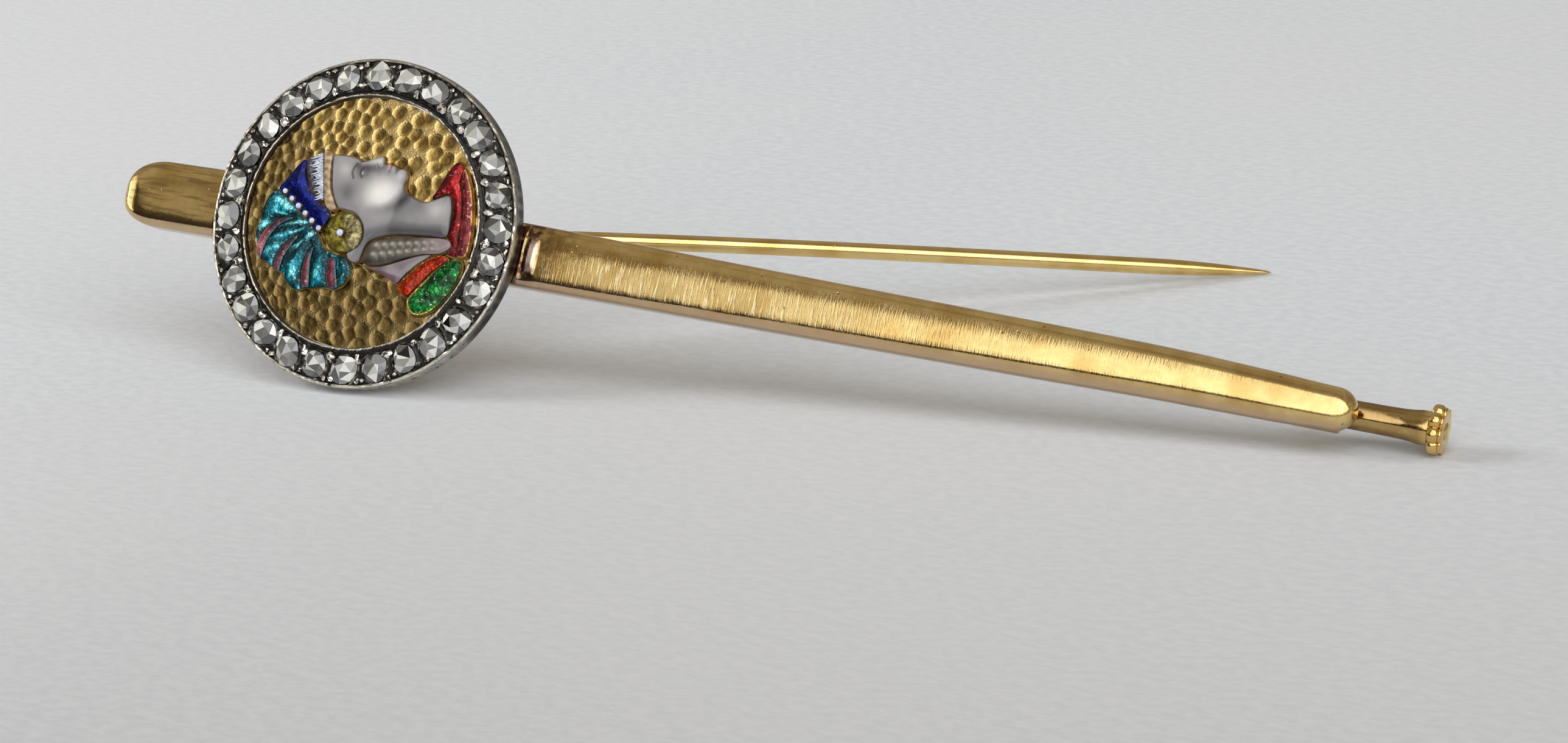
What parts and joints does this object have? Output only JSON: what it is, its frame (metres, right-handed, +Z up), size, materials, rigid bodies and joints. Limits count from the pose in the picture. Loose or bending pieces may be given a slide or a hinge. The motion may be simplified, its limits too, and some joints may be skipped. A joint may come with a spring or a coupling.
{
  "type": "enamel brooch",
  "caption": "Bar brooch with a round enamel bust medallion in a ring of rose-cut stones, a hinged pin behind the bar and a sliding tube catch with a petalled grip.",
  "frame": {"origin": "on the table, in the middle of the lying brooch's bounding box seen from above", "axes": "+X along the bar towards the slim end with the rosette, +Y away from the medallion's front towards the open pin, +Z up"},
  "size_m": [0.0664, 0.0323, 0.0149],
  "materials": {
    "gold": "worn polish",
    "dark_silver": "oxidised in the hollows, bright on the rims",
    "rose_cut_stone": "faceted",
    "turquoise_enamel": "glossy enamel over foil",
    "wine_enamel": "glossy enamel over foil",
    "cobalt_enamel": "glossy enamel",
    "white_enamel": "glossy enamel",
    "black_enamel": "glossy enamel",
    "brown_enamel": "glossy enamel",
    "yellow_green_enamel": "glossy enamel over foil",
    "pale_enamel": "glossy enamel",
    "beige_enamel": "glossy enamel",
    "red_enamel": "glossy enamel",
    "rose_enamel": "glossy enamel",
    "orange_enamel": "glossy enamel",
    "green_enamel": "glossy enamel over foil"
  },
  "bodies": {
    "brooch": {"bar": "gold", "hinge_rivet": "gold", "gem_ring": "dark_silver", "ground_plate": "gold", "picture_base": "gold", "stone_01": "rose_cut_stone", "stone_02": "rose_cut_stone", "stone_03": "rose_cut_stone", "stone_04": "rose_cut_stone", "stone_05": "rose_cut_stone", "stone_06": "rose_cut_stone", "stone_07": "rose_cut_stone", "stone_08": "rose_cut_stone", "stone_09": "rose_cut_stone", "stone_10": "rose_cut_stone", "stone_11": "rose_cut_stone", "stone_12": "rose_cut_stone", "stone_13": "rose_cut_stone", "stone_14": "rose_cut_stone", "stone_15": "rose_cut_stone", "stone_16": "rose_cut_stone", "stone_17": "rose_cut_stone", "stone_18": "rose_cut_stone", "stone_19": "rose_cut_stone", "stone_20": "rose_cut_stone", "stone_21": "rose_cut_stone", "stone_22": "rose_cut_stone", "stone_23": "rose_cut_stone", "stone_24": "rose_cut_stone", "stone_25": "rose_cut_stone", "stone_26": "rose_cut_stone", "stone_27": "rose_cut_stone", "stone_28": "rose_cut_stone", "turban": "turquoise_enamel", "turban_stripe_1": "wine_enamel", "turban_stripe_2": "wine_enamel", "turban_stripe_3": "wine_enamel", "turban_stripe_4": "wine_enamel", "blue_band": "cobalt_enamel", "band_pearls": "white_enamel", "hair": "black_enamel", "lace_edge": "white_enamel", "head_band": "brown_enamel", "ear_roundel": "yellow_green_enamel", "roundel_pearl": "white_enamel", "face_and_neck": "pale_enamel", "necklace": "beige_enamel", "shoulder": "pale_enamel", "collar": "red_enamel", "mantle": "rose_enamel", "orange_sash": "orange_enamel", "green_gown": "green_enamel"},
    "pin": {"pin_stem": "gold"},
    "catch": {"catch_slide": "gold"}
  },
  "joints": [
    {"name": "pin_swing", "type": "hinge", "parent": "brooch", "child": "pin", "pos_m": [-0.01995, -0.00957, 0.00612], "axis": [0.0947, 0.0941, 0.9911], "range_deg": [-34.28, 55.72]},
    {"name": "catch_slide", "type": "slide", "parent": "brooch", "child": "catch", "axis": [0.9955, 0, -0.0951], "range_m": [-0.0028, 0]}
  ]
}
